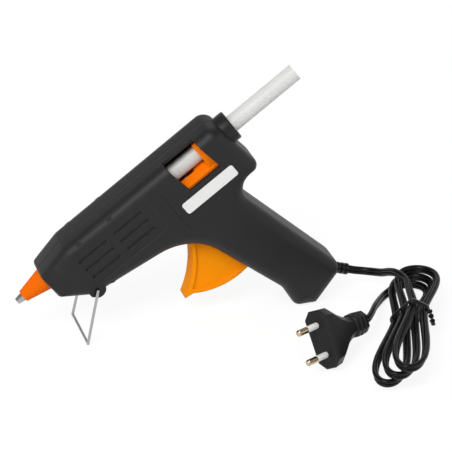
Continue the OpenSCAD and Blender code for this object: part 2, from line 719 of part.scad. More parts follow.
rim_round = 0.3 * collar_rim;
rim_middle = collar_end - rim_round;
module stick_collar() color("#2b2929") placed() difference() {
    barrel_turned([[collar_start + fit_gap, 0], [collar_start + fit_gap, collar_r],
                   [collar_end - collar_rim, collar_r], [rim_middle, collar_r - rim_round],
                   [collar_end, collar_r - collar_rim], [collar_end, 0]]);
    barrel_rod(stick_bore, collar_start, collar_end + cut_over);
}
module glue_stick() color("#eef1f2") placed() barrel_rod(stick_r, stick_front, stick_back);

// Wire stand: two splayed legs, hooked into the ears, and the bar that joins their feet
stand_hook = 11;
bend_swell = 0.05;
module wire(a, b) {
    v = b - a;
    translate(a) rotate([0, acos(v.z / norm(v)), atan2(v.y, v.x)]) cylinder(r = wire_r, h = norm(v));
}
module wire_stand() color("#d4d6d8") {
    top = on_table(stand_pivot);
    top_y = half_w + wire_r + seat_gap;
    foot_y = stand_w / 2;
    foot_h = wire_r + bend_swell;
    foot_x = top.x - (top.y - foot_h) * tan(stand_lean);
    for (s = [-1, 1]) {
        a = [top.x, s * top_y, top.y];
        b = [foot_x, s * foot_y, foot_h];
        wire(a, [top.x, s * (stand_hook + seat_gap), top.y]);
        wire(a, b);
        for (p = [a, b]) translate(p) sphere(r = wire_r + bend_swell);
    }
    wire([foot_x, -foot_y, foot_h], [foot_x, foot_y, foot_h]);
}

// Strain relief with ribs, and the clamp that holds the cord inside the handle
relief_ribs = 3;
relief_end_r = 3.3;
relief_groove = 0.7;
module strain_relief() color("#232122") along_exit() {
    rib_step = relief_len / (relief_ribs + 0.5);
    difference() {
        translate([0, 0, -relief_inside]) cylinder(r = relief_r, h = relief_inside + relief_outside);
        for (k = [0 : relief_ribs - 1]) translate([0, 0, relief_outside - (k + 1) * rib_step])
            difference() {
                cylinder(r = relief_r + cut_over, h = rib_step / 2);
                translate([0, 0, -cut_over])
                    cylinder(r = relief_end_r - relief_groove, h = rib_step + cut_over);
            }
    }
}
clamp_screw_r = 1.1;
clamp_bar_half = 3;
clamp_bar_t = 2.5;
clamp_tip = clamp_boss_y - 6;
clamp_head_r = 2.1;
clamp_head_h = 1.6;
module cord_clamp() color("#4a4748") placed() difference() {
    union() {
        for (p = clamp_points) cross_rod(p, clamp_bar_half, clamp_boss_y, clamp_boss_y + clamp_bar_t);
        translate([clamp_at.x, clamp_boss_y, clamp_at.y]) rotate([0, -exit_turn, 0])
            box([0.5 - clamp_bar_half, 0, -clamp_pitch / 2],
                [clamp_bar_half - 0.5, clamp_bar_t, clamp_pitch / 2]);
    }
    for (p = clamp_points) cross_rod(p, clamp_screw_r + pin_gap, -half_w, half_w);
}
module clamp_screws() color("#8b8d90") placed()
    for (p = clamp_points)
        cross_screw(p, clamp_screw_r, clamp_tip, clamp_boss_y + clamp_bar_t, clamp_head_r, clamp_head_h);

// Two leads from the cord up the back of the handle and along the barrel to the heater
lead_gap_y = 9;
function lead_in(p, s, y) = let(q = p + s * (lead_r + seat_gap) * exit_across) [q.x, s * y, q.y];
function lead_route(s) = [
    lead_in(relief_back, s, 0),
    lead_in(clamp_at - 3 * exit_dir, s, 0),
    lead_in(clamp_at - 7 * exit_dir, s, 1.6),
    [back_at(-104) - 10.5, s * 4, -104],
    [back_at(-94) - 7, s * 5, -94],
    [back_at(-84) - 5, s * 6.5, -84],
    [back_at(-70) - 5, s * 7.5, -70],
    [back_at(-55) - 6, s * 8.5, -55],
    [throat_x - 5, s * lead_gap_y, -42],
    [throat_x - 11, s * lead_gap_y, -32],
    [pivot.x + 10, s * lead_gap_y, -26],
    [pivot.x, s * lead_gap_y, -24],
    [grip_x - 11, s * lead_gap_y, grip_z + 15],
    [chamber_end + 8, s * 7, -16],
    [jacket_end + heater_over + 0.3, s * 3, heater_top - heater_t / 2]];
module heater_leads() color("#6e2f2a") placed()
    for (s = [-1, 1]) tube(lead_route(s), round_section(lead_r, 6), [0, 1, 0]);

// Flat cord: a lead from the gun, a tied hank of loops and a lead to the plug
flat_section = let(w = cord_w / 2, t = cord_t / 2)
    [[t, -0.4 * w], [t, 0.4 * w], [0.6 * t, 0.9 * w], [0, w], [-0.6 * t, 0.9 * w], [-t, 0.4 * w],
     [-t, -0.4 * w], [-0.6 * t, -0.9 * w], [0, -w], [0.6 * t, -0.9 * w]];
loop_section = let(w = cord_w / 2, t = cord_t / 2)
    [[t, -0.5 * w], [t, 0.5 * w], [0, w], [-t, 0.5 * w], [-t, -0.5 * w], [0, -w]];

hank_at = [130.5, -66.5];
hank_heading = 64;
near_len = 71;
far_len = 57;
hank_from = 104;
hank_sweep = 1039;
hank_low = 4.2;
hank_rise = 5.8;
hank_dip = 1.3;
waist_half = 4.5;
near_bulge = 19.5;
far_bulge = 25;
near_fan = 6.2;
waist_fan = 5;
far_fan = 2;
fan_middle = 464;
near_sway = 2.5;
hank_rings = 24;
hank_away = [cos(hank_heading), sin(hank_heading)];
hank_side = [sin(hank_heading), -cos(hank_heading)];
function hank_point(t) =
    let(c = cos(hank_from - t), s = sin(hank_from - t), far = c < 0, opened = pow(abs(c), 1.5),
        half = waist_half + ((far ? far_bulge : near_bulge) - waist_half) * opened,
        fan = waist_fan + ((far ? far_fan : near_fan) - waist_fan) * opened,
        p = hank_at - (far ? far_len : near_len) * c * hank_away
            + (fan * (fan_middle - t) / 360 - half * s - (far ? 0 : near_sway * opened)) * hank_side)
    [p.x, p.y, hank_low + hank_rise * (hank_sweep - t) / 360 - hank_dip * c * c];
hank_steps = ceil(hank_sweep * hank_rings / 360);
hank_curve = [for (k = [0 : hank_steps]) hank_point(hank_sweep * k / hank_steps)];
hank_start_dir = unit(hank_curve[0] - hank_curve[1]);
hank_end_dir = unit(hank_curve[hank_steps] - hank_curve[hank_steps - 1]);
hank_route = concat([hank_curve[0] + cord_w * hank_start_dir], hank_curve,
                    [hank_curve[hank_steps] + cord_w * hank_end_dir]);
function hank_gap() =
    let(n = len(hank_route),
        rings = [for (i = [0 : n - 1]) tube_ring(hank_route, i, loop_section, [0, 0, 1])])
    min([for (i = [0 : n - 1], j = [i + 8 : 1 : n - 1], a = rings[i], b = rings[j]) norm(a - b)]);
module cord_hank() color("#1c1b1b") {
    echo(hank_self_gap = hank_gap());
    tube(hank_route, loop_section);
}

exit_out = [cos(exit_drop), 0, -sin(exit_drop)];
cord_from = [cord_start.x, 0, cord_start.y];
gun_route = concat(
    [cord_from, cord_from + cord_w * exit_out],
    [[123.5, -1.2, 11.7], [128.8, -5.2, 12.2], [132.4, -12.5, 14.8], [134.8, -20, 18.8],
     [136.8, -27.5, 21.6], [139.4, -36, 21.8]],
    [hank_route[0] + cord_w * hank_start_dir, hank_route[0]]);
module cord_lead_gun() color("#1c1b1b") tube(gun_route, flat_section);

// Tie round the hank's waist, with its twisted tail
tie_w = 3;
tie_t = 0.9;
tie_clear = 0.5;
tie_along = 0;
tail_len = 11;
tie_at = hank_at + tie_along * hank_away;
strand_r = cord_w / 2 + tie_clear;
tie_strands = [for (t = [hank_from - 90 : 180 : hank_sweep])
    let(p = hank_point(t)) [([p.x, p.y] - hank_at) * hank_side, p.z]];
module tie_loop(grow, w) translate([0, w / 2, 0]) rotate([90, 0, 0]) linear_extrude(w)
    hull() for (p = tie_strands) translate(p) circle(r = strand_r + grow, $fn = 32);
module cord_tie() color("#161515") translate([tie_at.x, tie_at.y, 0])
    rotate([0, 0, hank_heading - 90]) {
        difference() {
            tie_loop(tie_t, tie_w);
            tie_loop(0, tie_w + 2 * cut_over);
        }
        translate([tie_strands[1].x + strand_r + tie_t - 0.4, 0, tie_strands[1].y]) rotate([0, 150, -50])
            cylinder(r = 1.1, h = tail_len);
    }

// Two-pin plug lying on its edge; its frame has x along the pins and z across them
plug_at = [65, -86];
plug_turn = -147;
plug_tilt = 7.7;
plug_roll = 30;
plug_len = 43;
plug_sections = [
    [-plug_len, 5, 4.2], [-41.5, 6.8, 5.6], [-38.6, 7.2, 5.9], [-38.4, 6.5, 5.2], [-37.2, 6.5, 5.2],
    [-37, 7.4, 6], [-34.6, 7.4, 6], [-34.4, 6.5, 5.2], [-33.2, 6.5, 5.2], [-33, 7.4, 6],
    [-30.2, 7.2, 5.9], [-29.6, 6.2, 5.3], [-27, 6.4, 5.6], [-22, 8, 6.4], [-17, 10.8, 7.2],
    [-12, 14.6, 7.9], [-8, 17.6, 8.2], [-1, 18.4, 8.2], [0, 17.6, 7.6]];
plug_chamfer = 0.55;
function plug_ring(q) = let(w = q[1], t = q[2], c = plug_chamfer * t)
    [[c - t, -w], [t - c, -w], [t, c - w], [t, w - c], [t - c, w], [c - t, w], [-t, w - c], [-t, c - w]];
function plug_down(q) =
    max([for (p = plug_ring(q))
        (p.y * cos(plug_roll) + p.x * sin(plug_roll)) * cos(plug_tilt)]) - q[0] * sin(plug_tilt);
plug_z = max([for (q = plug_sections) plug_down(q)]);
module plug_placed() translate([plug_at.x, plug_at.y, plug_z]) rotate([0, 0, plug_turn])
    rotate([0, -plug_tilt, 0]) rotate([plug_roll, 0, 0]) children();
plug_back = [-cos(plug_turn) * cos(plug_tilt), -sin(plug_turn) * cos(plug_tilt), -sin(plug_tilt)];
plug_cord_at = [plug_at.x, plug_at.y, plug_z] + plug_len * plug_back;
socket_r = plug_pin_d / 2 - 0.5;
module plug_body() color("#1f1d1e") plug_placed() difference() {
    rotate([0, 0, -90])
        skinned([for (q = plug_sections) [for (p = plug_ring(q)) [p.x, q[0], p.y]]]);
    for (s = [-1, 1]) translate([-pin_root, 0, s * pin_pitch / 2]) rotate([0, 90, 0])
        cylinder(r = socket_r + press_gap, h = pin_root + cut_over);
}
pin_root = 8;
pin_nose = 1.2;
module plug_pins() color("#c8a45c") plug_placed()
    for (s = [-1, 1]) translate([0, 0, s * pin_pitch / 2]) barrel_turned([
        [-pin_root, 0], [-pin_root, socket_r], [sleeve_on_pin, socket_r],
        [sleeve_on_pin, plug_pin_d / 2], [plug_pin_len - pin_nose, plug_pin_d / 2],
        [plug_pin_len, plug_pin_d / 2 - pin_nose], [plug_pin_len, 0]]);
module pin_sleeves() color("#f2f0ec") plug_placed()
    for (s = [-1, 1]) translate([0, 0, s * pin_pitch / 2]) difference() {
        barrel_rod(plug_pin_d / 2, 0, sleeve_on_pin);
        barrel_rod(socket_r + press_gap, -cut_over, sleeve_on_pin + cut_over);
    }

plug_route = concat(
    [plug_cord_at, plug_cord_at + cord_w * plug_back],
    [[111, -52, 10.5], [116, -43.5, 8.8], [122, -34, 6]],
    [hank_route[hank_steps + 2] + cord_w * hank_end_dir, hank_route[hank_steps + 2]]);
module cord_lead_plug() color("#1c1b1b") tube(plug_route, flat_section);

left_housing();
right_housing();
nozzle_tip();
nozzle_insulator();
melt_chamber();
ptc_heater();
heater_clamp();
inlet_sleeve();
carriage();
grip_jaw();
jaw_pin();
trigger();
trigger_pivot_pin();
drive_pin();
return_spring();
stick_collar();
glue_stick();
wire_stand();
housing_screws();
strain_relief();
cord_clamp();
clamp_screws();
heater_leads();
cord_lead_gun();
cord_hank();
cord_tie();
cord_lead_plug();
plug_body();
plug_pins();
pin_sleeves();
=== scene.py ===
import json
from math import ceil, cos, pi, radians, sin

import bmesh
import bpy
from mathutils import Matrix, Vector


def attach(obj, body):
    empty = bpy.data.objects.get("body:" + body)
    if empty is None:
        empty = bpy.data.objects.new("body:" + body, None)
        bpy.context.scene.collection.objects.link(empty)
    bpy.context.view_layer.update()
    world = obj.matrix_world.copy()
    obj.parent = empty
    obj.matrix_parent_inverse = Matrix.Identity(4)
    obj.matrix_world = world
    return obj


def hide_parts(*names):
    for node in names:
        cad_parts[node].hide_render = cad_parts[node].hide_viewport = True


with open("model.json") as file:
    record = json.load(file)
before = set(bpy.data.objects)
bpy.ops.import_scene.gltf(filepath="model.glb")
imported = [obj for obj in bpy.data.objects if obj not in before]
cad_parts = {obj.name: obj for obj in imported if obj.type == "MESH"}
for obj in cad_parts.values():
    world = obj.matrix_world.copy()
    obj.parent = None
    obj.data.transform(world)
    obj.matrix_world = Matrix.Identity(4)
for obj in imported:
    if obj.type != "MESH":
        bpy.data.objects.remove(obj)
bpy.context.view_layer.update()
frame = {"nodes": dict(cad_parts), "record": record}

scene = bpy.context.scene
nodes = frame["nodes"]

# Camera at the photograph's viewing angle, with the focal length in the photo's pixels
focal_px, photo_px, sensor_mm = 2268, 452, 36
camera_at = (-0.348407, -1.193652, 0.716037)
camera_down, camera_round = 27.7053, -17.6794
camera_data = bpy.data.cameras.new("camera")
camera_data.sensor_width = sensor_mm
camera_data.sensor_fit = "HORIZONTAL"
camera_data.lens = focal_px / photo_px * sensor_mm
camera_data.clip_start = 0.05
camera_data.clip_end = 20
camera = bpy.data.objects.new("camera", camera_data)
camera.location = camera_at
camera.rotation_euler = (radians(90 - camera_down), 0, radians(camera_round))
scene.collection.objects.link(camera)
scene.camera = camera


# Mesh helpers
def new_piece(name, bm, smooth=True):
    mesh = bpy.data.meshes.new(name)
    bmesh.ops.recalc_face_normals(bm, faces=bm.faces)
    bm.to_mesh(mesh)
    bm.free()
    for p in mesh.polygons:
        p.use_smooth = smooth
    piece = bpy.data.objects.new(name, mesh)
    scene.collection.objects.link(piece)
    return piece


def bridge(bm, rings):
    """Faces between each ring of vertices and the next."""
    for a, b in zip(rings, rings[1:]):
        for k in range(len(a)):
            after = (k + 1) % len(a)
            bm.faces.new((a[k], a[after], b[after], b[k]))


def sweep(bm, route, section, above=Vector((0, 0, 1)), twist=None, closed=False):
    """Tube of a (side, up) section along route, its up side kept towards above."""
    m = len(route)
    rings = []
    for i, p in enumerate(route):
        if closed:
            ahead = route[(i + 1) % m] - route[i - 1]
        else:
            ahead = route[min(i + 1, m - 1)] - route[max(i - 1, 0)]
        ahead = ahead.normalized()
        side = above.cross(ahead).normalized()
        up = ahead.cross(side)
        a = twist(i / (m - 1)) if twist else 0
        turned_side = side * cos(a) + up * sin(a)
        turned_up = up * cos(a) - side * sin(a)
        rings.append([bm.verts.new(p + turned_side * x + turned_up * y) for x, y in section])
    if closed:
        bridge(bm, rings + rings[:1])
    else:
        bridge(bm, rings)
        bm.faces.new(rings[0])
        bm.faces.new(list(reversed(rings[-1])))


def spline(points, step):
    """Smooth curve through points, with about one sample per step of length."""
    pts = [2 * points[0] - points[1]] + points + [2 * points[-1] - points[-2]]
    out = []
    for i in range(1, len(pts) - 2):
        a, b, c, d = pts[i - 1:i + 3]
        ta = (b - a).length ** 0.5
        tb = (c - b).length ** 0.5
        tc = (d - c).length ** 0.5
        m1 = tb * ((b - a) / ta - (c - a) / (ta + tb) + (c - b) / tb)
        m2 = tb * ((c - b) / tb - (d - b) / (tb + tc) + (d - c) / tc)
        n = max(2, ceil((c - b).length / step))
        for k in range(n):
            u = k / n
            out.append((2 * u**3 - 3 * u**2 + 1) * b + (u**3 - 2 * u**2 + u) * m1
                       + (3 * u**2 - 2 * u**3) * c + (u**3 - u**2) * m2)
    return out + [points[-1]]


# Flat cord on the source's route, in metres: three loops of a tied hank and two leads
cord_w, cord_t = 0.0054, 0.0034
hank_at = Vector((0.1305, -0.0665))
hank_heading = radians(64)
near_len, far_len = 0.071, 0.057
hank_from, hank_sweep = 104, 1039
hank_low, hank_rise, hank_dip = 0.0042, 0.0058, 0.0013
waist_half, near_bulge, far_bulge = 0.0045, 0.0195, 0.025
near_fan, waist_fan, far_fan, fan_middle = 0.0062, 0.005, 0.002, 464
near_sway, bulge_power = 0.0025, 1.5
hank_steps = 300
hank_away = Vector((cos(hank_heading), sin(hank_heading)))
hank_side = Vector((sin(hank_heading), -cos(hank_heading)))


def hank_across(t):
    c, s = cos(radians(hank_from - t)), sin(radians(hank_from - t))
    opened = abs(c) ** bulge_power
    bulge, fan, sway = (far_bulge, far_fan, 0) if c < 0 else (near_bulge, near_fan, near_sway)
    half = waist_half + (bulge - waist_half) * opened
    fan = waist_fan + (fan - waist_fan) * opened
    return fan * (fan_middle - t) / 360 - half * s - sway * opened


def hank_height(t):
    dip = hank_dip * cos(radians(hank_from - t)) ** 2
    return hank_low + hank_rise * (hank_sweep - t) / 360 - dip


def hank_point(t):
    c = cos(radians(hank_from - t))
    p = hank_at - (far_len if c < 0 else near_len) * c * hank_away + hank_across(t) * hank_side
    return Vector((p.x, p.y, hank_height(t)))


hank_curve = [hank_point(hank_sweep * k / hank_steps) for k in range(hank_steps + 1)]

# Leads from the gun and from the plug, through listed points
lead_step, lead_ease = 0.0022, 1.6 * cord_w
cord_from, exit_drop = Vector((0.113461, 0, 0.0140675)), radians(18)
exit_out = Vector((cos(exit_drop), 0, -sin(exit_drop)))
gun_points = [cord_from, cord_from + cord_w * exit_out] + [Vector(p) for p in (
    (0.1235, -0.0012, 0.0117), (0.1288, -0.0052, 0.0122), (0.1324, -0.0125, 0.0148),
    (0.1348, -0.020, 0.0188), (0.1368, -0.0275, 0.0216), (0.1394, -0.036, 0.0218))]
plug_cord_at = Vector((0.100738, -0.0627917, 0.0122435))
plug_back = Vector((0.831108, 0.539728, -0.133986))
plug_points = [plug_cord_at, plug_cord_at + cord_w * plug_back] + [Vector(p) for p in (
    (0.111, -0.052, 0.0105), (0.116, -0.0435, 0.0088), (0.122, -0.034, 0.006))]
start_dir = (hank_curve[0] - hank_curve[2]).normalized()
end_dir = (hank_curve[-1] - hank_curve[-3]).normalized()
gun_lead = spline(gun_points + [hank_curve[0] + lead_ease * start_dir, hank_curve[0]], lead_step)
plug_lead = spline(plug_points + [hank_curve[-1] + lead_ease * end_dir, hank_curve[-1]], lead_step)
cord_route = gun_lead + hank_curve[1:] + plug_lead[-2::-1]

# Its section: two round cores side by side, with a groove between them
core_r, core_at = cord_t / 2, cord_w / 2 - cord_t / 2
groove, core_steps = 40, 10
flat_twin = []
for s in (1, -1):
    for k in range(core_steps + 1):
        a = radians(90 - 90 * s - groove + (180 + 2 * groove) * k / core_steps)
        flat_twin.append((core_r * cos(a), s * core_at + core_r * sin(a)))
run_turn, turn_steps = radians(80), 16


def cord_turn(u):
    """Turn of the flat cord: on edge at the folds and in the leads, nearly flat along the runs."""
    step = u * (len(cord_route) - 1) - (len(gun_lead) - 1)
    in_hank = min(max(step, 0), hank_steps)
    fade = max(0, 1 - abs(step - in_hank) / turn_steps)
    return run_turn * fade * sin(radians(hank_from - hank_sweep * in_hank / hank_steps)) ** 2


bm = bmesh.new()
sweep(bm, cord_route, flat_twin, twist=cord_turn)
cord = new_piece("cord", bm)
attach(cord, "body")
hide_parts("cord_lead_gun", "cord_hank", "cord_lead_plug")

# Twist tie drawn tight round the hank's waist: a flat band with its wire raised along the middle
tie_w, tie_t, tie_clear, band_steps = 0.0046, 0.0011, 0.0003, 72
strand_r = cord_w / 2 + tie_clear
band_r = strand_r + tie_t / 2
waist = [(hank_across(t), hank_height(t)) for t in range(hank_from - 90, hank_sweep + 1, 180)]
side3, away3 = hank_side.to_3d(), hank_away.to_3d()


def waist_point(across, z):
    p = hank_at + across * hank_side
    return Vector((p.x, p.y, z))


band = []
for k in range(band_steps):
    a = 2 * pi * k / band_steps
    across, z = max(waist, key=lambda strand: strand[0] * cos(a) + strand[1] * sin(a))
    band.append(waist_point(across + band_r * cos(a), z + band_r * sin(a)))
band_half = [(-0.5, -0.42), (-0.2, -0.5), (0.15, -0.42), (0.15, -0.16), (0.5, -0.06)]
band_outline = band_half + [(x, -y) for x, y in reversed(band_half)]
bm = bmesh.new()
sweep(bm, band, [(x * tie_t, y * tie_w) for x, y in band_outline], above=away3, closed=True)

# The tie's two ends, twisted into a tail that opens towards its end
tail_len, tail_bite, tail_steps = 0.0095, 0.0004, 40
tail_turns, twist_until = 1.5 * 2 * pi, 0.85
tail_gap, end_gap, open_from = 0.0007, 0.0012, 0.75
tail_round, tail_slope = radians(50), Vector((0.5, -0.866))
strip_w, strip_side, strip_mid = 0.0010, 0.0004, 0.0005
strip = [(strip_side, strip_w), (-strip_side, strip_w), (-strip_mid, 0),
         (-strip_side, -strip_w), (strip_side, -strip_w), (strip_mid, 0)]
tail_level = cos(tail_round) * side3 - sin(tail_round) * away3
tail_dir = (tail_slope.x * tail_level + Vector((0, 0, tail_slope.y))).normalized()
tail_from = waist_point(waist[1][0] + strand_r + tie_t - tail_bite, waist[1][1])
tail_across = tail_dir.cross(Vector((0, 0, 1))).normalized()
tail_beside = tail_dir.cross(tail_across)


def tail_turn(u):
    return tail_turns * min(u, twist_until)


for start in (0, pi):
    strand = []
    for k in range(tail_steps + 1):
        u = k / tail_steps
        gap = tail_gap + end_gap * max(0, u - open_from) / (1 - open_from)
        a = start + tail_turn(u)
        strand.append(tail_from + tail_dir * tail_len * u
                      + gap * (cos(a) * tail_across + sin(a) * tail_beside))
    sweep(bm, strand, strip, above=tail_across, twist=tail_turn)
tie = new_piece("tie", bm)
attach(tie, "body")
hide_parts("cord_tie")

# Bare label plate on the left half, below the window, drawn along the gun's own axes
pitch, middle_x, foot_z = radians(36), 0.102538, -0.0274496
label_x, label_z = (0.1158, 0.1552), (-0.0205, -0.012)
label_y, label_t, label_sink = -0.0165, 0.00018, 0.00005
label_r, label_steps = 0.0016, 8
label_layers = [(1, label_sink), (1, -0.7 * label_t), (0.997, -label_t)]


def gun(x, y, z):
    """Place on the table of a point on the gun, whose barrel is pitched nose down."""
    return Vector((x * cos(pitch) - z * sin(pitch) - middle_x, y,
                   x * sin(pitch) + z * cos(pitch) - foot_z))


low_x, high_x = label_x[0] + label_r, label_x[1] - label_r
low_z, high_z = label_z[0] + label_r, label_z[1] - label_r
rim = []
for quarter, (x, z) in enumerate(((high_x, high_z), (low_x, high_z), (low_x, low_z), (high_x, low_z))):
    for k in range(label_steps + 1):
        a = radians(90 * (quarter + k / label_steps))
        rim.append((x + label_r * cos(a), z + label_r * sin(a)))
mid_x, mid_z = sum(label_x) / 2, sum(label_z) / 2
bm = bmesh.new()
rings = []
for grow, out in label_layers:
    rings.append([bm.verts.new(gun(mid_x + (x - mid_x) * grow, label_y + out, mid_z + (z - mid_z) * grow))
                  for x, z in rim])
bridge(bm, rings)
bm.faces.new(rings[0])
bm.faces.new(rings[-1])
label = new_piece("label", bm, smooth=False)
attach(label, "body")


# Materials: mottled colour, grain in roughness and relief, rounded edges with a painted highlight (a lighter
# colour along them)
broad_detail, fine_detail, bevel_samples = 4, 3, 6
grain_low, grain_high, least_rough = 0.3, 0.7, 0.02
edge_flat, edge_sharp = 1.0, 0.8
# Painted highlight along edges: how much lighter its colour is than the base
highlight_gain, highlight_lift = 1.5, 0.03


def link(tree, a, b):
    tree.links.new(a, b)


def noise(tree, vector, scale, detail):
    texture = tree.nodes.new("ShaderNodeTexNoise")
    texture.inputs["Scale"].default_value = scale
    texture.inputs["Detail"].default_value = detail
    link(tree, vector, texture.inputs["Vector"])
    return texture.outputs["Fac"]


def lighter_edges(tree, base, rounded, color, edge_light):
    """Painted highlight on edges: base colour mixed towards a lighter one where the rounded normal leaves
    the true one.
    """
    shape = tree.nodes.new("ShaderNodeNewGeometry")
    dot = tree.nodes.new("ShaderNodeVectorMath")
    dot.operation = "DOT_PRODUCT"
    link(tree, rounded, dot.inputs[0])
    link(tree, shape.outputs["True Normal"], dot.inputs[1])
    edge_highlight_mask = tree.nodes.new("ShaderNodeMapRange")
    edge_highlight_mask.inputs["From Min"].default_value = edge_flat
    edge_highlight_mask.inputs["From Max"].default_value = edge_sharp
    edge_highlight_mask.inputs["To Max"].default_value = edge_light
    link(tree, dot.outputs["Value"], edge_highlight_mask.inputs["Value"])
    # Painted highlight: the colour goes lighter along rounded edges, in place of the light they catch
    highlighted_edges = tree.nodes.new("ShaderNodeMix")
    highlighted_edges.data_type = "RGBA"
    link(tree, edge_highlight_mask.outputs["Result"], highlighted_edges.inputs["Factor"])
    link(tree, base, highlighted_edges.inputs["A"])
    highlighted_edges.inputs["B"].default_value = (*[min(1, c * highlight_gain + highlight_lift) for c in color], 1)
    return highlighted_edges.outputs["Result"]


def material(name, color, rough, metallic=0.0, specular=0.5, grain=2500, bump=0.15, depth=0.00004,
             mottle=60, tone=0.12, rough_span=0.08, edge=0.0004, edge_light=0.0, brushed=None, ior=1.5):
    m = bpy.data.materials.new(name)
    m.use_nodes = True
    t = m.node_tree
    t.nodes.clear()
    out = t.nodes.new("ShaderNodeOutputMaterial")
    bsdf = t.nodes.new("ShaderNodeBsdfPrincipled")
    link(t, bsdf.outputs["BSDF"], out.inputs["Surface"])
    bsdf.inputs["Metallic"].default_value = metallic
    bsdf.inputs["Specular IOR Level"].default_value = specular
    bsdf.inputs["IOR"].default_value = ior
    coord = t.nodes.new("ShaderNodeTexCoord")
    place = t.nodes.new("ShaderNodeMapping")
    link(t, coord.outputs["Object"], place.inputs["Vector"])
    if brushed:
        place.inputs["Rotation"].default_value = brushed[0]
        place.inputs["Scale"].default_value = brushed[1]
    broad = noise(t, coord.outputs["Object"], mottle, broad_detail)
    fine = noise(t, place.outputs["Vector"], grain, fine_detail)
    tones = t.nodes.new("ShaderNodeMix")
    tones.data_type = "RGBA"
    tones.inputs["A"].default_value = (*[max(0, c * (1 - tone)) for c in color], 1)
    tones.inputs["B"].default_value = (*[min(1, c * (1 + tone)) for c in color], 1)
    link(t, broad, tones.inputs["Factor"])
    bevel = t.nodes.new("ShaderNodeBevel")
    bevel.samples = bevel_samples
    bevel.inputs["Radius"].default_value = edge
    base = tones.outputs["Result"]
    if edge_light:
        base = lighter_edges(t, base, bevel.outputs["Normal"], color, edge_light)
    link(t, base, bsdf.inputs["Base Color"])
    span = t.nodes.new("ShaderNodeMapRange")
    span.inputs["From Min"].default_value = grain_low
    span.inputs["From Max"].default_value = grain_high
    span.inputs["To Min"].default_value = max(least_rough, rough - rough_span)
    span.inputs["To Max"].default_value = rough + rough_span
    link(t, fine, span.inputs["Value"])
    link(t, span.outputs["Result"], bsdf.inputs["Roughness"])
    relief = t.nodes.new("ShaderNodeBump")
    relief.inputs["Strength"].default_value = bump
    relief.inputs["Distance"].default_value = depth
    link(t, fine, relief.inputs["Height"])
    link(t, bevel.outputs["Normal"], relief.inputs["Normal"])
    link(t, relief.outputs["Normal"], bsdf.inputs["Normal"])
    return m


along_barrel = ((0, -pitch, 0), (0.05, 1, 1))
round_barrel = ((0, -pitch, 0), (6, 0.3, 0.3))
# edge_light sets how strong each finish's painted highlight along its edges is
by_slot = {
    "housing": material("housing", (0.0115, 0.0102, 0.0105), 0.5, specular=0.3, grain=2600, bump=0.3,
                        depth=0.00006, mottle=35, tone=0.1, rough_span=0.06, edge=0.0007, edge_light=0.45),
    "orange": material("orange", (1.0, 0.30, 0.002), 0.56, specular=0.04, grain=900, bump=0.06, mottle=50,
                       tone=0.04, rough_span=0.05, edge=0.0012, edge_light=0.1),
    "insulator": material("insulator", (0.82, 0.138, 0.0012), 0.55, specular=0.05, grain=1800, bump=0.12,
                          mottle=70, tone=0.07, edge=0.0004),
    "tip": material("tip", (0.40, 0.40, 0.41), 0.16, metallic=1, grain=1200, bump=0.04, tone=0.12,
                    edge=0.0003, brushed=round_barrel),
    "chamber": material("chamber", (0.62, 0.62, 0.63), 0.5, metallic=1, grain=700, bump=0.4, depth=0.0001,
                        tone=0.12),
    "heater": material("heater", (0.78, 0.72, 0.58), 0.5, grain=1500, tone=0.08),
    "spring_steel": material("spring_steel", (0.55, 0.56, 0.58), 0.3, metallic=1, tone=0.1, edge=0.0001,
                             brushed=along_barrel),
    "sleeve": material("sleeve", (0.58, 0.48, 0.35), 0.6, grain=900, tone=0.1),
    "jaw_steel": material("jaw_steel", (0.42, 0.43, 0.45), 0.38, metallic=1, tone=0.12, edge=0.0002,
                          brushed=along_barrel),
    "pins": material("pins", (0.58, 0.59, 0.60), 0.25, metallic=1, grain=1600, tone=0.06, edge=0.0002),
    "collar": material("collar", (0.012, 0.011, 0.0115), 0.4, specular=0.25, grain=2400, bump=0.25,
                       edge=0.0005, edge_light=0.4),
    "stick": material("stick", (0.635, 0.632, 0.622), 0.36, specular=0.22, grain=420, bump=0.05,
                      depth=0.0001, mottle=40, tone=0.05, rough_span=0.06, edge=0.0, ior=1.48,
                      brushed=along_barrel),
    "stand_wire": material("stand_wire", (0.40, 0.41, 0.42), 0.16, metallic=1, grain=900, bump=0.05,
                           tone=0.06, rough_span=0.05, edge=0.0001),
    "screws": material("screws", (0.33, 0.33, 0.34), 0.35, metallic=1, grain=1400, tone=0.1, edge=0.0002),
    "cord": material("cord_pvc", (0.0032, 0.0030, 0.0030), 0.32, specular=0.2, grain=90, bump=0.01,
                     depth=0.00006, mottle=40, tone=0.2, rough_span=0.03, edge=0.0),
    "relief": material("relief_pvc", (0.007, 0.0066, 0.0066), 0.36, specular=0.3, grain=1500, bump=0.15,
                       edge=0.0003),
    "lead": material("lead_pvc", (0.25, 0.05, 0.04), 0.4, grain=1500, tone=0.1, edge=0.0001),
    "tie": material("tie_pvc", (0.006, 0.006, 0.006), 0.3, specular=0.4, grain=1200, bump=0.15, edge=0.0001),
    "plug": material("plug_pvc", (0.0062, 0.0058, 0.0058), 0.42, specular=0.24, grain=2000, bump=0.2,
                     depth=0.00005, mottle=60, tone=0.15, edge=0.0012, edge_light=1.0),
    "brass": material("brass", (0.55, 0.435, 0.29), 0.14, metallic=1, grain=700, bump=0.02, mottle=120,
                      tone=0.12, rough_span=0.05, edge=0.0003),
    "sleeves": material("sleeves", (0.86, 0.85, 0.83), 0.3, grain=1200, bump=0.08, tone=0.03, edge=0.0002),
}
feed_orange = material("feed_orange", (1.0, 0.205, 0.002), 0.5, specular=0.06, grain=900, bump=0.06,
                       mottle=50, tone=0.05, rough_span=0.05, edge=0.0005, edge_light=0.1)
label_film = material("label_film", (0.78, 0.78, 0.775), 0.45, specular=0.4, grain=1800, bump=0.08,
                      tone=0.02, edge=0.0001)


def dress(piece, finish):
    piece.data.materials.clear()
    piece.data.materials.append(finish)


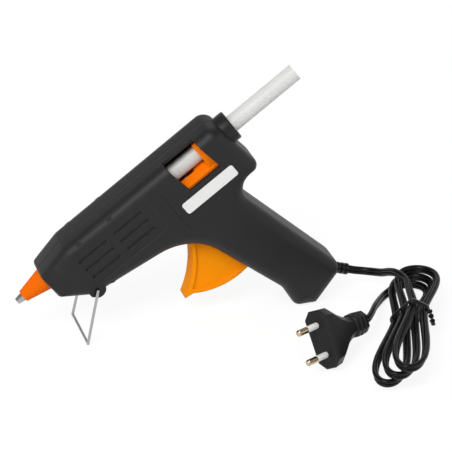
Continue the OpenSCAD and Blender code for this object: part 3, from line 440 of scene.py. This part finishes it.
# Smooth shading across the facets of curved CAD faces, by a modifier alone
weld, soft_angle = 0.000002, radians(33)
shade = bpy.data.node_groups.new("shade_by_angle", "GeometryNodeTree")
shade.interface.new_socket("Geometry", in_out="INPUT", socket_type="NodeSocketGeometry")
shade.interface.new_socket("Geometry", in_out="OUTPUT", socket_type="NodeSocketGeometry")
taken = shade.nodes.new("NodeGroupInput")
given = shade.nodes.new("NodeGroupOutput")
drop = shade.nodes.new("GeometryNodeRemoveAttribute")
drop.inputs["Name"].default_value = "custom_normal"
merge = shade.nodes.new("GeometryNodeMergeByDistance")
merge.inputs["Distance"].default_value = weld
faces = shade.nodes.new("GeometryNodeSetShadeSmooth")
faces.domain = "FACE"
angle = shade.nodes.new("GeometryNodeInputMeshEdgeAngle")
soft = shade.nodes.new("FunctionNodeCompare")
soft.data_type = "FLOAT"
soft.operation = "LESS_THAN"
soft.inputs["B"].default_value = soft_angle
edges = shade.nodes.new("GeometryNodeSetShadeSmooth")
edges.domain = "EDGE"
link(shade, taken.outputs[0], drop.inputs["Geometry"])
link(shade, drop.outputs["Geometry"], merge.inputs["Geometry"])
link(shade, merge.outputs["Geometry"], faces.inputs["Geometry"])
link(shade, faces.outputs["Geometry"], edges.inputs["Geometry"])
link(shade, angle.outputs["Unsigned Angle"], soft.inputs["A"])
link(shade, soft.outputs["Result"], edges.inputs["Shade Smooth"])
link(shade, edges.outputs["Geometry"], given.inputs[0])

for row in frame["record"]["subparts"]:
    part = nodes[row["node"]]
    dress(part, by_slot[row["material_slot"]])
    part.modifiers.new("shade", "NODES").node_group = shade
dress(nodes["carriage"], feed_orange)
dress(cord, by_slot["cord"])
dress(tie, by_slot["tie"])
dress(label, label_film)

# Pale floor, white where the camera or a gloss sees it, with a faint shadow
floor_half = 6
paper_tone, shadow_tone, white_glow = 0.86, 0.16, 0.87
bm = bmesh.new()
bmesh.ops.create_grid(bm, x_segments=1, y_segments=1, size=floor_half)
floor = new_piece("floor", bm)


def seen_directly(tree):
    """1 for rays from the camera and from gloss."""
    path = tree.nodes.new("ShaderNodeLightPath")
    either = tree.nodes.new("ShaderNodeMath")
    either.operation = "MAXIMUM"
    link(tree, path.outputs["Is Camera Ray"], either.inputs[0])
    link(tree, path.outputs["Is Glossy Ray"], either.inputs[1])
    return either.outputs[0]


ground = bpy.data.materials.new("ground")
ground.use_nodes = True
t = ground.node_tree
t.nodes.clear()
out = t.nodes.new("ShaderNodeOutputMaterial")
paper = t.nodes.new("ShaderNodeBsdfDiffuse")
paper.inputs["Color"].default_value = (paper_tone, paper_tone, paper_tone, 1)
shadowed = t.nodes.new("ShaderNodeBsdfDiffuse")
shadowed.inputs["Color"].default_value = (shadow_tone, shadow_tone, shadow_tone, 1)
white = t.nodes.new("ShaderNodeEmission")
white.inputs["Strength"].default_value = white_glow
bright = t.nodes.new("ShaderNodeAddShader")
mix = t.nodes.new("ShaderNodeMixShader")
link(t, white.outputs[0], bright.inputs[0])
link(t, shadowed.outputs[0], bright.inputs[1])
link(t, seen_directly(t), mix.inputs["Fac"])
link(t, paper.outputs[0], mix.inputs[1])
link(t, bright.outputs[0], mix.inputs[2])
link(t, mix.outputs[0], out.inputs["Surface"])
dress(floor, ground)

# Soft studio light: white all round, falling off to a dark ceiling in reflections
sky_strength, ceiling_from, ceiling_to, ceiling_tone = 0.46, 0.0, 0.6, 0.25
world = bpy.data.worlds.new("world")
scene.world = world
world.use_nodes = True
t = world.node_tree
t.nodes.clear()
out = t.nodes.new("ShaderNodeOutputWorld")
sky = t.nodes.new("ShaderNodeBackground")
sky.inputs["Color"].default_value = (1, 1, 1, 1)
sky.inputs["Strength"].default_value = sky_strength
direction = t.nodes.new("ShaderNodeTexCoord")
height = t.nodes.new("ShaderNodeSeparateXYZ")
link(t, direction.outputs["Generated"], height.inputs[0])
ceiling = t.nodes.new("ShaderNodeMapRange")
ceiling.interpolation_type = "SMOOTHSTEP"
ceiling.inputs["From Min"].default_value = ceiling_from
ceiling.inputs["From Max"].default_value = ceiling_to
ceiling.inputs["To Min"].default_value = 1.0
ceiling.inputs["To Max"].default_value = ceiling_tone
link(t, height.outputs["Z"], ceiling.inputs["Value"])
path = t.nodes.new("ShaderNodeLightPath")
tint = t.nodes.new("ShaderNodeMix")
tint.data_type = "RGBA"
tint.inputs["A"].default_value = (1, 1, 1, 1)
link(t, path.outputs["Is Glossy Ray"], tint.inputs["Factor"])
link(t, ceiling.outputs["Result"], tint.inputs["B"])
back = t.nodes.new("ShaderNodeBackground")
back.inputs["Strength"].default_value = 1
link(t, tint.outputs["Result"], back.inputs["Color"])
mix = t.nodes.new("ShaderNodeMixShader")
link(t, seen_directly(t), mix.inputs["Fac"])
link(t, sky.outputs[0], mix.inputs[1])
link(t, back.outputs[0], mix.inputs[2])
link(t, mix.outputs[0], out.inputs["Surface"])


def lamp(name, place, target, size, power):
    data = bpy.data.lights.new(name, "AREA")
    data.shape = "SQUARE"
    data.size = size
    data.energy = power
    o = bpy.data.objects.new(name, data)
    o.location = place
    o.rotation_euler = (Vector(target) - Vector(place)).to_track_quat("-Z", "Y").to_euler()
    scene.collection.objects.link(o)


lamp("key", (-0.75, -0.85, 1.15), (0, 0, 0.05), 0.7, 16)
lamp("fill", (0.95, -0.75, 0.7), (0, 0, 0.05), 0.8, 2)
lamp("rim", (0.25, 1.0, 1.2), (0, 0, 0.08), 0.8, 3)

scene.view_settings.view_transform = "Standard"
